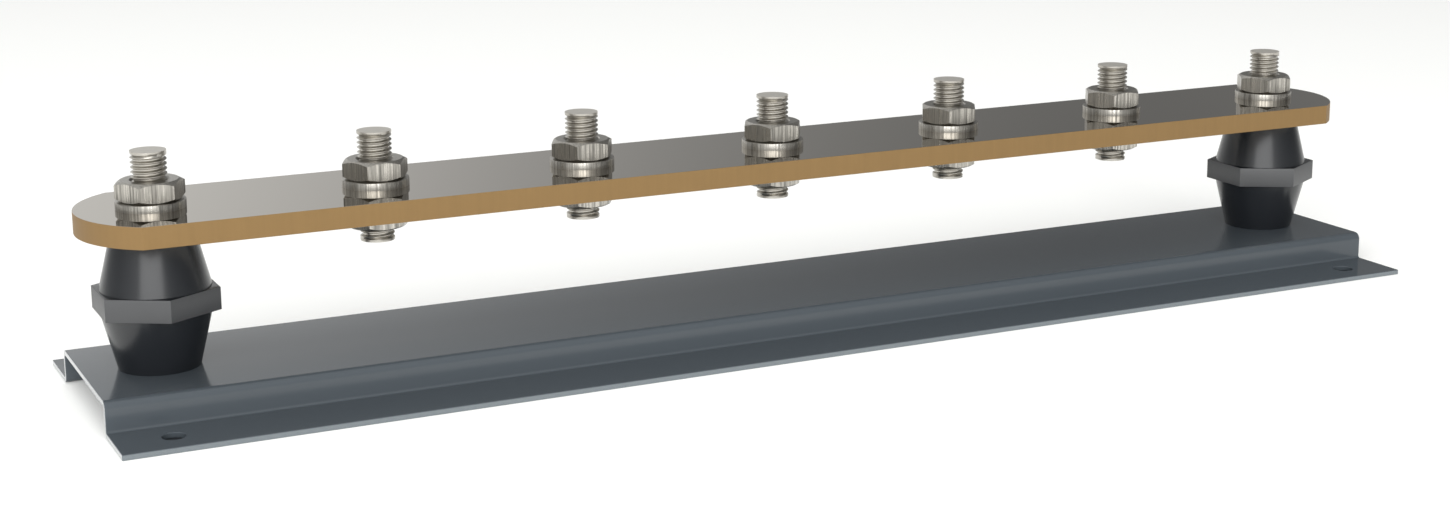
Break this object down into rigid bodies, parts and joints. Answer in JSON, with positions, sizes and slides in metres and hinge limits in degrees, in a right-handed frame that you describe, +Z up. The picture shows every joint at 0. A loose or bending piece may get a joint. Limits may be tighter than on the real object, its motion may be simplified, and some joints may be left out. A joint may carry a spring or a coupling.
{
  "type": "earth terminal bar",
  "caption": "Flat metal earth bar with a row of threaded terminal studs, held by black moulded insulators above a folded steel base with fixing holes.",
  "frame": {"origin": "middle of the rectangle that the folded base stands on", "axes": "+X along the bar, +Y across it, +Z up from the base to the studs"},
  "size_m": [0.4316, 0.0996, 0.0723],
  "materials": {
    "base_sheet": "dark slate grey gloss stove enamel",
    "terminal_bar": "matt cut edges, polished and plated faces",
    "insulator": "glossy black thermoset moulding",
    "insert": "turned",
    "fastener": "brushed and plated"
  },
  "bodies": {
    "root": {"base": "base_sheet", "bar": "terminal_bar", "insulators": "insulator", "threaded_inserts": "insert", "end_studs": "fastener", "end_washers": "fastener", "end_nuts": "fastener", "terminal_washers": "fastener", "terminal_top_nuts": "fastener", "terminal_lower_nuts": "fastener", "base_screw_left": "fastener", "base_screw_right": "fastener", "terminal_stud_1": "fastener", "terminal_stud_2": "fastener", "terminal_stud_3": "fastener", "terminal_stud_4": "fastener", "terminal_stud_5": "fastener"}
  },
  "joints": []
}
